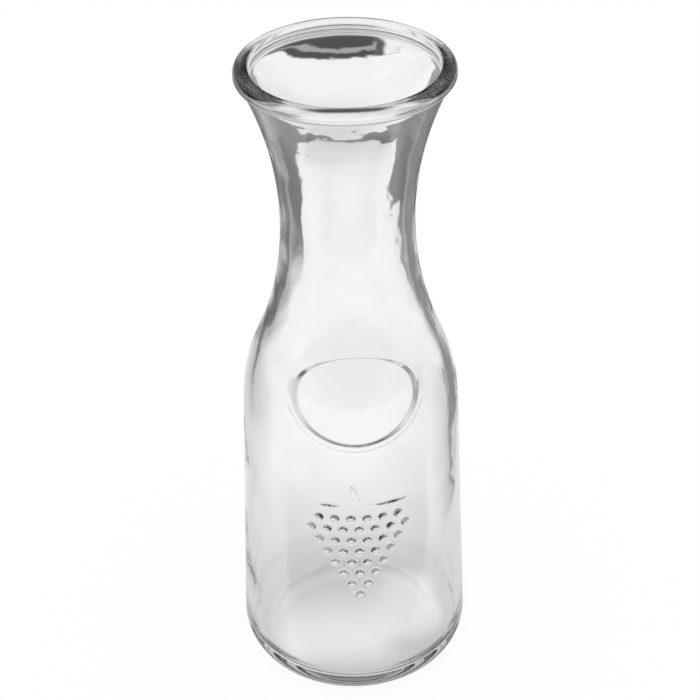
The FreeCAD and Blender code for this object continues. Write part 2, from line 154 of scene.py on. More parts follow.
class NodeBoard:
    """The nodes of one material or world."""

    def __init__(self, owner: bpy.types.ID) -> None:
        """Clears the owner's nodes and keeps its tree."""
        owner.use_nodes = True
        self.tree = owner.node_tree
        self.tree.nodes.clear()

    def node(
        self,
        kind: str,
        settings: Mapping[str, Any] | None = None,
        inputs: Mapping[str | int, Any] | None = None,
    ) -> bpy.types.Node:
        """Adds any node.

        Args:
            kind: The node's type.
            settings: Its own settings, set first. "stops" gives a ramp's places and colours.
            inputs: Numbers, colours, values or sockets, by the input's name or number.

        Returns:
            The new node.
        """
        made = self.tree.nodes.new(kind)
        for name, setting in (settings or {}).items():
            if name == "stops":
                self.set_stops(made.color_ramp, setting)
            else:
                setattr(made, name, setting)
        for name, given in (inputs or {}).items():
            source = given.socket if isinstance(given, Value) else given
            if isinstance(source, bpy.types.NodeSocket):
                self.tree.links.new(source, made.inputs[name])
            else:
                made.inputs[name].default_value = source
        return made

    @staticmethod
    def set_stops(ramp: bpy.types.ColorRamp, stops: Sequence[tuple[float, float]]) -> None:
        """Gives a ramp its stops.

        Args:
            ramp: The ramp, which has two stops when it is new.
            stops: The place and the grey level of each, from low to high.
        """
        while len(ramp.elements) < len(stops):
            ramp.elements.new(1.0)
        for element, (place, level) in zip(ramp.elements, stops):
            element.position = place
            element.color = (level, level, level, 1.0)

    def value(
        self,
        kind: str,
        output: str,
        settings: Mapping[str, Any] | None = None,
        inputs: Mapping[str | int, Any] | None = None,
    ) -> Value:
        """Adds any node and gives one of its outputs as a value.

        Args:
            kind: The node's type.
            output: The name of the output.
            settings: As for node.
            inputs: As for node.

        Returns:
            The output.
        """
        return Value(self, self.node(kind, settings, inputs).outputs[output])


# Finishes


@dataclass(frozen=True)
class ClearGlass:
    """Clear moulded glass: a faint cloudy tint, ripples from the mould and a smooth lip."""

    name: str = "clear_glass"
    tint: tuple[float, float] = (0.985, 1.0)
    cloud_scale: float = 16.0
    cloud_stops: tuple[float, float] = (0.3, 0.6)
    index: float = 1.5
    haze: float = 0.05
    haze_stops: tuple[float, float] = (0.5, 0.75)
    lip_haze: float = 0.12
    lip_band: tuple[float, float] = (0.263, 0.268)
    depth_colour: tuple[float, float, float] = (0.50, 0.52, 0.51)
    depth_density: float = 8.0
    ripple_scale: float = 90.0
    ripple_depth: float = 0.05
    ripple_detail: float = 2.0
    ripple_roughness: float = 0.45
    shadow_level: float = 0.98

    def material(self) -> bpy.types.Material:
        """Makes the material.

        Returns:
            The material, which lets lamps shine through to what stands behind it.
        """
        made = bpy.data.materials.new(self.name)
        board = NodeBoard(made)
        place = board.node("ShaderNodeTexCoord").outputs["Object"]
        cloud = board.value(
            "ShaderNodeTexNoise", "Fac", {}, {"Vector": place, "Scale": self.cloud_scale}
        )
        stops = list(zip(self.cloud_stops, self.tint))
        tint = board.node("ShaderNodeValToRGB", {"stops": stops}, {"Fac": cloud})
        up = board.value("ShaderNodeSeparateXYZ", "Z", {}, {"Vector": place})
        lip = up.eased(*self.lip_band)
        haze = cloud.eased(*self.haze_stops) * self.haze
        ripple = board.value(
            "ShaderNodeTexNoise",
            "Fac",
            {},
            {
                "Vector": place,
                "Scale": self.ripple_scale,
                "Detail": self.ripple_detail,
                "Roughness": self.ripple_roughness,
            },
        )
        bump = board.node(
            "ShaderNodeBump",
            {},
            {"Strength": 1.0, "Distance": self.ripple_depth * MM, "Height": ripple * (1.0 - lip)},
        )
        glass = board.node(
            "ShaderNodeBsdfPrincipled",
            {},
            {
                "Base Color": tint.outputs["Color"],
                "Roughness": haze.larger(lip * self.lip_haze),
                "IOR": self.index,
                "Transmission Weight": 1.0,
                "Normal": bump.outputs["Normal"],
            },
        )
        shade = (self.shadow_level, self.shadow_level, self.shadow_level, 1.0)
        clear = board.node("ShaderNodeBsdfTransparent", {}, {"Color": shade})
        path = board.node("ShaderNodeLightPath")
        both = board.node(
            "ShaderNodeMixShader",
            {},
            {0: path.outputs["Is Shadow Ray"], 1: glass.outputs[0], 2: clear.outputs[0]},
        )
        depth = board.node(
            "ShaderNodeVolumeAbsorption",
            {},
            {"Color": (*self.depth_colour, 1.0), "Density": self.depth_density},
        )
        board.node(
            "ShaderNodeOutputMaterial", {}, {"Surface": both.outputs[0], "Volume": depth.outputs[0]}
        )
        return made


@dataclass(frozen=True)
class PaperAndPaintedShade:
    """A studio floor patch the glass shows with its edges: paper, painted shade or light.

    The four softnesses are those of its left, near, right and far edge. A bow draws the far edge
    in towards the sides, by the bow times the square of the distance from the middle.
    """

    low: tuple[float, float]
    high: tuple[float, float]
    level: float
    soft: tuple[float, float, float, float] = (0.003, 0.003, 0.003, 0.003)
    bow: float = 0.0

    def over(self, place: tuple[Value, Value], below: Any) -> Value:
        """Lays the patch over what lies below it, easing from one to the other at its edges.

        The brightness is what lies below times 1 less the mask, plus the mask times the level.

        Args:
            place: Where on the floor, along X and along Y.
            below: Brightness of what lies below.

        Returns:
            The brightness.
        """
        across, along = place
        left, near, right, far = self.soft
        middle = across - (self.low[0] + self.high[0]) / 2
        bowed = along + middle * middle * self.bow
        mask = across.eased(self.low[0] - left, self.low[0] + left)
        mask = mask * (1.0 - across.eased(self.high[0] - right, self.high[0] + right))
        mask = mask * along.eased(self.low[1] - near, self.low[1] + near)
        mask = mask * (1.0 - bowed.eased(self.high[1] - far, self.high[1] + far))
        return below * (1.0 - mask) + mask * self.level


@dataclass(frozen=True)
class HeelShade:
    """The ring of painted shade on the floor under the carafe's heel."""

    middle: tuple[float, float] = (0.005, 0.0)
    inner: float = 0.039
    outer: float = 0.049
    level: float = 0.42
    soft: float = 0.006

    def over(self, place: tuple[Value, Value], below: Any) -> Value:
        """Lays the painted shade over what lies below it, in the same way as the other patches.

        Args:
            place: Where on the floor, along X and along Y.
            below: Brightness of what lies below.

        Returns:
            The brightness.
        """
        across, along = place[0] - self.middle[0], place[1] - self.middle[1]
        away = (across * across + along * along).maths("SQRT")
        mask = away.eased(self.inner - self.soft, self.inner + self.soft)
        mask = mask * (1.0 - away.eased(self.outer - self.soft, self.outer + self.soft))
        return below * (1.0 - mask) + mask * self.level


@dataclass(frozen=True)
class PaleFloor:
    """Matt white floor that reads as white to the eye, with sheets of paper round the carafe.

    The eye meets an even white. The glass shows the same floor with its brightness painted in:
    dark in painted shade round the carafe, white on the sheets and lit with painted light under
    the foot, so that its edges and its ornament stand out.
    """

    name: str = "pale_floor"
    colour: tuple[float, float, float] = (0.9, 0.9, 0.9)
    glow: float = 0.92
    beyond: float = 0.92
    layers: tuple[PaperAndPaintedShade | HeelShade, ...] = (
        # Floor far in front, painted as dim as the room beyond it
        PaperAndPaintedShade((-9.0, -9.0), (9.0, -1.60), 0.36, (0.10, 0.10, 0.10, 0.65)),
        # Painted shade in front of the carafe, which its berries show
        PaperAndPaintedShade((-0.19, -0.22), (0.19, -0.05), 0.03, (0.07, 0.07, 0.07, 0.012)),
        # Painted shade behind it, darker beside the neck
        PaperAndPaintedShade((-0.56, 0.00), (0.52, 0.569), 0.26, (0.12, 0.05, 0.12, 0.004)),
        PaperAndPaintedShade((-0.30, 0.22), (-0.03, 0.46), 0.14, (0.06, 0.05, 0.01, 0.01)),
        PaperAndPaintedShade((0.05, 0.31), (0.30, 0.46), 0.16, (0.01, 0.02, 0.06, 0.01)),
        # Painted shade under the body, white and grey sheets behind it, and painted shade down its
        # right side
        PaperAndPaintedShade((-0.20, -0.046), (0.121, 0.30), 0.69, (0.06, 0.012, 0.006, 0.04)),
        PaperAndPaintedShade((-0.14, 0.63), (0.14, 1.80), 0.62, (0.04, 0.01, 0.04, 0.20)),
        PaperAndPaintedShade((-0.075, 0.065), (0.121, 0.31), 1.00, (0.045, 0.055, 0.006, 0.02)),
        PaperAndPaintedShade((0.075, -0.020), (0.121, 0.31), 0.72, (0.065, 0.05, 0.006, 0.02)),
        PaperAndPaintedShade((0.04, 0.20), (0.16, 0.29), 0.92, (0.01, 0.01, 0.02, 0.008)),
        PaperAndPaintedShade((0.04, 0.27), (0.127, 0.345), 0.97, (0.01, 0.01, 0.006, 0.006)),
        # Strip that the neck shows, dimmer at its far end
        PaperAndPaintedShade((-0.063, 0.25), (0.096, 0.4595), 0.97, (0.003, 0.03, 0.003, 0.003), 4.0),
        PaperAndPaintedShade((-0.063, 0.44), (0.096, 0.4595), 0.68, (0.003, 0.04, 0.003, 0.003), 4.0),
        # White sheet that the mouth shows, with a dark bar beyond it
        PaperAndPaintedShade((-0.085, 0.4675), (0.130, 0.569), 0.97, (0.002, 0.002, 0.002, 0.002)),
        PaperAndPaintedShade((-0.085, 0.4675), (0.048, 0.500), 0.80, (0.002, 0.002, 0.03, 0.026)),
        PaperAndPaintedShade((-0.13, 0.569), (0.068, 0.628), 0.08),
        PaperAndPaintedShade((-0.05, 0.579), (0.060, 0.586), 0.40, (0.002, 0.002, 0.002, 0.002)),
        # Painted light under the foot, where light comes through the glass, a painted shadow to its
        # front right, and the painted shade of the heel
        PaperAndPaintedShade((0.015, -0.005), (0.039, 0.024), 0.97, (0.012, 0.008, 0.006, 0.008)),
        PaperAndPaintedShade((-0.033, -0.027), (0.030, 0.010), 1.00, (0.010, 0.012, 0.014, 0.024)),
        PaperAndPaintedShade((0.016, -0.06), (0.10, -0.014), 0.60, (0.012, 0.010, 0.02, 0.008)),
        HeelShade(),
    )

    def material(self) -> bpy.types.Material:
        """Makes the material.

        Returns:
            The material: even white to the eye, painted shade and light to the glass, plain matt
                where lit.
        """
        made = bpy.data.materials.new(self.name)
        board = NodeBoard(made)
        path = board.node("ShaderNodeLightPath")
        camera = Value(board, path.outputs["Is Camera Ray"])
        glossy = Value(board, path.outputs["Is Glossy Ray"])
        through = Value(board, path.outputs["Is Transmission Ray"])
        in_glass = glossy.larger(through)
        spot = board.node("ShaderNodeTexCoord").outputs["Object"]
        split = board.node("ShaderNodeSeparateXYZ", {}, {"Vector": spot})
        place = (Value(board, split.outputs["X"]), Value(board, split.outputs["Y"]))
        # Brightness that only the glass sees: paper sheets, painted shade and painted light, one
        # over another
        level: Any = self.beyond
        for layer in self.layers:
            level = layer.over(place, level)
        matt = board.node("ShaderNodeBsdfDiffuse", {}, {"Color": (*self.colour, 1.0)})
        white = board.node("ShaderNodeEmission", {}, {"Color": camera.larger(level)})
        both = board.node(
            "ShaderNodeMixShader",
            {},
            {0: in_glass.larger(camera * self.glow), 1: matt.outputs[0], 2: white.outputs[0]},
        )
        board.node("ShaderNodeOutputMaterial", {}, {"Surface": both.outputs[0]})
        return made


# Glass


def arc(centre: tuple[float, float], radius: float, start: float, end: float, count: int) -> Array:
    """Points on an arc: the centre plus the radius times the cosine and sine of an even angle.

    Args:
        centre: Distance from the axis and height.
        radius: Radius of the arc.
        start: First angle, in radians.
        end: Last angle, in radians.
        count: How many points.

    Returns:
        Distances from the axis and heights, one row a point.
    """
    turn = np.linspace(start, end, count)
    return np.stack([centre[0] + radius * np.cos(turn), centre[1] + radius * np.sin(turn)], axis=1)


def rounded(corners: Sequence[tuple[float, float, float]], count: int) -> Array:
    """A path of straight runs with rounded corners.

    Each corner becomes an arc of its radius that touches both runs: it starts the radius times the
    tangent of half the turn before the corner and ends as far after it.

    Args:
        corners: Distance from the axis, height and rounding of each corner. The ends stay sharp.
        count: How many points each rounded corner gets.

    Returns:
        Distances from the axis and heights, one row a point.
    """
    spots = np.array([corner[:2] for corner in corners])
    runs = np.diff(spots, axis=0)
    runs /= np.linalg.norm(runs, axis=1)[:, None]
    parts = [spots[:1]]
    for spot, before, after, corner in zip(spots[1:-1], runs[:-1], runs[1:], corners[1:-1]):
        cross = before[0] * after[1] - before[1] * after[0]
        bend = math.atan2(cross, float(before @ after))
        side = math.copysign(1.0, bend) * np.array([-before[1], before[0]])
        turn = np.linspace(0.0, abs(bend), count)[:, None]
        first = spot - before * corner[2] * math.tan(abs(bend) / 2)
        parts.append(first + corner[2] * (np.sin(turn) * before + (1 - np.cos(turn)) * side))
    parts.append(spots[-1:])
    return np.concatenate(parts)


@dataclass(frozen=True)
class VesselOutline:
    """Turned outline of the vessel, outside and inside."""

    height: float = 272.0
    wall: float = 3.6
    heel_radius: float = 12.0
    heel_turn: float = math.radians(48.0)
    foot_rounding: float = 3.0
    ring_width: float = 4.0
    ring_rounding: float = 2.0
    punt_rise: float = 4.0
    floor_thickness: float = 5.0
    floor_crown_radius: float = 320.0
    inner_heel_radius: float = 9.0
    body_radius: float = 48.35
    taper: float = math.radians(2.29)
    shoulder_radius: float = 83.0
    waist_radius: float = 25.5
    waist_drop: float = 62.6
    mouth_radius: float = 34.3
    mouth_land: float = 5.2
    mouth_rounding: float = 1.2
    land_rounding: float = 1.5
    land_ease: float = 1.8
    lip_overhang: float = 1.8
    lip_height: float = 5.0
    lip_rounding: float = 2.6
    lip_under_rounding: float = 1.5
    collar_height: float = 5.8
    collar_step: float = 0.3
    collar_rise: float = 0.15
    collar_ease: float = 2.0
    mould_rounding: float = 0.3
    push_up_rows: int = 9
    ring_corner_rows: int = 5
    heel_rows: int = 12
    lip_corner_rows: int = 8
    floor_rows: int = 14

    @property
    def waist_height(self) -> float:
        """Height of the narrowest place of the neck."""
        return self.height - self.waist_drop

    @property
    def sweep(self) -> float:
        """Radius of the neck's outer sweep, whose inner face runs from the waist to the mouth."""
        flare = self.mouth_radius - self.waist_radius + self.wall
        climb = self.waist_drop - self.mouth_land
        return (climb**2 + flare**2) / (2 * flare) - self.wall

    @property
    def sweep_centre(self) -> float:
        """Distance of the sweep's centre from the axis."""
        return self.waist_radius + self.sweep

    @property
    def shoulder_centre(self) -> tuple[float, float]:
        """Centre of the shoulder's circle, which touches the wall line and the neck's circle."""
        slope = math.tan(self.taper)
        inset = self.shoulder_radius / math.cos(self.taper)
        reach = self.sweep_centre - self.body_radius + inset
        apart = self.shoulder_radius + self.sweep
        a = slope**2 + 1
        b = 2 * (reach * slope - self.waist_height)
        c = reach**2 + self.waist_height**2 - apart**2
        up = (-b - math.sqrt(b * b - 4 * a * c)) / (2 * a)
        return self.body_radius - up * slope - inset, up

    def radius(self, up: Array, inset: float = 0.0) -> Array:
        """Radius of the side at a height: a leaning line, then the shoulder arc, then the neck arc.

        Args:
            up: Heights.
            inset: How far the side is set in, square to the glass.

        Returns:
            The radius at each height.
        """
        across, middle = self.shoulder_centre
        turn = math.atan2(self.waist_height - middle, self.sweep_centre - across)
        shoulder = self.shoulder_radius - inset
        line = self.body_radius - inset / math.cos(self.taper) - up * math.tan(self.taper)
        bulge = across + np.sqrt(np.maximum(shoulder**2 - (up - middle) ** 2, 0.0))
        hollow = (self.sweep + inset) ** 2 - (up - self.waist_height) ** 2
        neck = self.sweep_centre - np.sqrt(np.maximum(hollow, 0.0))
        below = up < middle + shoulder * math.sin(self.taper)
        under = up < middle + shoulder * math.sin(turn)
        return np.where(below, line, np.where(under, bulge, neck))

    def side(self, heights: Array, inset: float = 0.0) -> Array:
        """Points of the side at some heights.

        Args:
            heights: Heights, in the order wanted.
            inset: How far the side is set in.

        Returns:
            Distances from the axis and heights, one row a point.
        """
        return np.stack([self.radius(heights, inset), heights], axis=1)

    def foot(self) -> Array:
        """Push-up, standing ring and heel, from beside the axis out to the wall line.

        Returns:
            Distances from the axis and heights, one row a point.
        """
        heel = self.heel_radius
        heel_across = float(self.radius(np.array(heel))) - heel / math.cos(self.taper)
        bend = arc((heel_across, heel), heel, -self.heel_turn, self.taper, self.heel_rows)
        corner = bend[0, 0] - bend[0, 1] * math.tan(self.heel_turn)
        ring = corner - self.foot_rounding * math.tan(math.pi / 4 - self.heel_turn / 2)
        ring -= self.ring_width
        crown = (ring**2 + self.punt_rise**2) / (2 * self.punt_rise)
        edge = math.asin(ring / crown)
        first, last = math.pi / 2 - edge / self.push_up_rows, math.pi / 2 - edge
        push_up = arc((0.0, self.punt_rise - crown), crown, first, last, self.push_up_rows)
        standing = rounded(
            [
                (*push_up[-2], 0.0),
                (ring, 0.0, self.ring_rounding),
                (corner, 0.0, self.foot_rounding),
                (*bend[0], 0.0),
            ],
            self.ring_corner_rows,
        )
        return np.concatenate([push_up[:-2], standing[:-1], bend])

    def lip(self) -> Array:
        """Collar step, collar, rolled lip, rim and the straight land inside the mouth.

        Returns:
            Distances from the axis and heights, one row a point.
        """
        collar_foot = self.height - self.collar_height
        lip_foot = self.height - self.lip_height
        land_foot = self.height - self.mouth_land
        neck_end = float(self.radius(np.array(collar_foot)))
        below = collar_foot - self.collar_ease
        collar = neck_end + self.collar_step
        edge = collar + self.lip_overhang
        inner_below = np.array(land_foot - self.land_ease)
        return rounded(
            [
                (float(self.radius(np.array(below))), below, 0.0),
                (neck_end, collar_foot, self.mould_rounding),
                (collar, collar_foot + self.collar_rise, self.mould_rounding),
                (collar, lip_foot, self.mould_rounding),
                (edge, lip_foot, self.lip_under_rounding),
                (edge, self.height, self.lip_rounding),
                (self.mouth_radius, self.height, self.mouth_rounding),
                (self.mouth_radius, land_foot, self.land_rounding),
                (float(self.radius(inner_below, self.wall)), float(inner_below), 0.0),
            ],
            self.lip_corner_rows,
        )

    def floor(self) -> Array:
        """Inner heel and crowned floor, from the inner wall in to beside the axis.

        Returns:
            Distances from the axis and heights, one row a point.
        """
        heel = self.inner_heel_radius
        crown = self.floor_crown_radius
        top = self.punt_rise + self.floor_thickness
        up = top + heel
        across = float(self.radius(np.array(up), self.wall)) - heel / math.cos(self.taper)
        up -= across**2 / (2 * crown)
        tilt = math.asin(across / (crown + heel))
        bend = arc((across, up), heel, self.taper, -math.pi / 2 - tilt, self.heel_rows)
        first, last = math.pi / 2 - tilt, math.pi / 2 - tilt / self.floor_rows
        disc = arc((0.0, top - crown), crown, first, last, self.floor_rows)
        return np.concatenate([bend, disc[1:]])


@dataclass(frozen=True)
class Ripple:
    """Uneven glass: many waves that run every way over the wall, the long ones higher."""

    depth: float
    seed: int
    waves: int = 160
    shortest: float = 8.0
    longest: float = 60.0
    mean_radius: float = 36.0

    def height(self, turn: Array, up: Array) -> Array:
        """Sum of cosine waves, each with a whole number of turns round the axis, so that it closes.

        A wave's height grows with its length, so that long and short waves slope alike.

        Args:
            turn: Angles round the axis.
            up: Heights.

        Returns:
            Heights of the waves, about as high and low as the depth.
        """
        draw = np.random.default_rng(self.seed)
        length = np.exp(draw.uniform(math.log(self.shortest), math.log(self.longest), self.waves))
        lean = draw.uniform(0.0, math.pi, self.waves)
        start = draw.uniform(0.0, 2 * math.pi, self.waves)
        around = np.round(self.mean_radius * 2 * math.pi / length * np.cos(lean))
        total = np.zeros(np.broadcast(turn, up).shape)
        for turns, climb, first, long in zip(around, np.sin(lean) / length, start, length):
            total += long * np.cos(turns * turn + 2 * math.pi * climb * up + first)
        return total * self.depth / math.sqrt(float(np.sum(length**2)) / 2)


@dataclass(frozen=True)
class Ornament:
    """Ornament on the front: bare sunk oval medallion, raised berries, stalk and leaf ridges."""

    low: float = 54.0
    high: float = 170.0
    reach: float = math.radians(38.25)
    medallion_height: float = 148.7
    floor_oval: tuple[float, float] = (22.8, 16.6)
    edge_oval: tuple[float, float] = (24.7, 17.4)
    margin_oval: tuple[float, float] = (26.3, 19.6)
    gather_band: float = 0.1
    gather_share: float = 0.35
    depth: float = 1.5
    border_fall: tuple[float, float] = (1.1, 1.2)
    margin_depth: float = 0.25
    margin_fall: float = 3.0
    berry_rows: tuple[int, ...] = (6, 7, 6, 5, 4, 3, 2, 1)
    berry_top: float = 97.0
    berry_pitch: float = 6.35
    row_pitch: float = 5.5
    berry_radius: float = 1.85
    berry_sink: float = 0.15
    berry_reach: tuple[float, float] = (2.4, 3.1)
    ridge_height: float = 1.1
    stalk: tuple[float, float, float, float] = (-2.9, 113.2, -0.2, 104.2)
    stalk_width: float = 2.3
    stalk_height: float = 0.55
    stalk_edge: float = 8.0
    leaves: tuple[tuple[float, float], ...] = ((-16.4, -7.1), (4.4, 21.4))
    leaf_height: float = 103.2
    leaf_width: float = 1.8
    lens_power: float = 0.7

    def ovals(self, across: Array, rise: Array) -> tuple[Array, ...]:
        """How far out points lie on the floor, edge and margin ovals, 1 on each oval."""
        halves = (self.floor_oval, self.edge_oval, self.margin_oval)
        return tuple(np.hypot(across / wide, rise / tall) for wide, tall in halves)

    def gathered(self, across: Array, up: Array) -> tuple[Array, Array]:
        """Draws the grid in towards the medallion's rim, so that its steep step is finely cut.

        A point's place s across a band round the rim, from -1 to 1, becomes a share of s plus the
        rest of s times its size.

        Args:
            across: Distances to the side.
            up: Heights.

        Returns:
            The new distances and heights.
        """
        rise = up - self.medallion_height
        inner, edge, _ = self.ovals(across, rise)
        out = (inner + edge) / 2
        place = np.clip((out - 1) / self.gather_band, -1.0, 1.0)
        drawn = place * (self.gather_share + (1 - self.gather_share) * np.abs(place))
        scale = 1 + (drawn - place) * self.gather_band / np.maximum(out, 0.1)
        return across * scale, self.medallion_height + rise * scale

    def medallion(self, across: Array, up: Array) -> Array:
        """Depth of the sunk oval, whose ovals lie in the view from the front.

        The share of the way between two ovals is how far the point is outside the inner one, over
        that plus how far it is inside the outer one. From the floor to the edge the depth falls
        evenly along that share, with a short level run at each end. The margin is level, and its
        outer third rises evenly to the wall.

        Args:
            across: Distances to the side.
            up: Heights.

        Returns:
            Depths, 0 outside the margin.
        """
        inner, edge, outer = self.ovals(across, up - self.medallion_height)
        slope = np.maximum(inner - 1, 0) / np.maximum(np.abs(inner - 1) + np.abs(1 - edge), 1e-9)
        slope = np.where(edge > 1, 1.0, slope)
        fade = np.maximum(edge - 1, 0) / np.maximum(np.abs(edge - 1) + np.abs(1 - outer), 1e-9)
        fade = np.where(outer > 1, 1.0, fade)
        start, fall = self.border_fall
        steep = (self.depth - self.margin_depth) * np.clip(start - fall * slope, 0.0, 1.0)
        return steep + self.margin_depth * np.clip(self.margin_fall * (1 - fade), 0.0, 1.0)

    def berries(self, along: Array, up: Array) -> tuple[Array, Array, Array]:
        """Pulls the grid round each berry onto a ball that is sunk a little in the wall.

        A point's distance from the berry's middle becomes an angle on the ball, in proportion out
        to the ball's foot. Beyond that the wall is drawn in after it.

        Args:
            along: Distances round the wall.
            up: Heights.

        Returns:
            The new distances and heights, and the height above the wall.
        """
        nearest = np.full(along.shape, np.inf)
        middle_along, middle_up = np.zeros(along.shape), np.zeros(along.shape)
        for row, count in enumerate(self.berry_rows):
            height = self.berry_top - row * self.row_pitch
            spot = np.clip(np.round(along / self.berry_pitch + (count - 1) / 2), 0, count - 1)
            middle = (spot - (count - 1) / 2) * self.berry_pitch
            away = np.hypot(along - middle, up - height)
            closer = away < nearest
            nearest = np.where(closer, away, nearest)
            middle_along = np.where(closer, middle, middle_along)
            middle_up = np.where(closer, height, middle_up)
        inner, outer = self.berry_reach
        foot = math.sqrt(self.berry_radius**2 - self.berry_sink**2)
        turn = np.minimum(nearest / inner, 1.0) * math.acos(self.berry_sink / self.berry_radius)
        drawn = foot + (nearest - inner) * (outer - foot) / (outer - inner)
        drawn = np.where(nearest < inner, self.berry_radius * np.sin(turn), drawn)
        scale = np.where(nearest < outer, drawn / np.maximum(nearest, 1e-6), 1.0)
        raised = np.maximum(self.berry_radius * np.cos(turn) - self.berry_sink, 0.0)
        return (middle_along + (along - middle_along) * scale,
                middle_up + (up - middle_up) * scale, raised)

    def lens(self, along: Array, up: Array, ends: tuple[float, float, float, float],
             width: float) -> Array:
        """Share of a ridge with pointed ends: 1 along its crest, 0 at its edge and beside it.

        The share is 1 less the square of the distance from the crest over the half width, which
        narrows towards each end.

        Args:
            along: Distances round the wall.
            up: Heights.
            ends: Place and height of one end, then of the other.
            width: Width at the middle.

        Returns:
            The shares.
        """
        start, end = np.array(ends[:2]), np.array(ends[2:])
        length = float(np.linalg.norm(end - start))
        run = (end - start) / length
        share = ((along - start[0]) * run[0] + (up - start[1]) * run[1]) / length
        aside = (along - start[0]) * -run[1] + (up - start[1]) * run[0]
        slim = np.clip(4 * share * (1 - share), 0.0, None) ** self.lens_power
        crest = 1 - (aside / np.maximum(width / 2 * slim, 1e-6)) ** 2
        return np.clip(crest, 0.0, None) * slim

    def relief(self, turn: Array, up: Array, radius: Array) -> tuple[Array, Array, Array]:
        """Places of the ornament's grid on the wall.

        A leaf's height goes with its share, so that it is a steep ridge. The stalk is a low plate
        with an eased edge.

        Args:
            turn: Angles round the axis, from the ornament's middle.
            up: Heights.
            radius: Radius of the wall at those heights.

        Returns:
            The angles and heights after the grid is drawn in, and the height above the wall, which
            is below 0 in the medallion.
        """
        across, up = self.gathered(radius * np.sin(turn), up)
        along, up, raised = self.berries(radius * np.arcsin(np.clip(across / radius, -1, 1)), up)
        plate = self.lens(along, up, self.stalk, self.stalk_width)
        raised = np.maximum(raised, self.stalk_height * smooth(self.stalk_edge * plate))
        for start, end in self.leaves:
            ends = (start, self.leaf_height, end, self.leaf_height)
            ridge = self.lens(along, up, ends, self.leaf_width)
            raised = np.maximum(raised, self.ridge_height * ridge)
        turn = along / radius
        return turn, up, raised - self.medallion(radius * np.sin(turn), up)


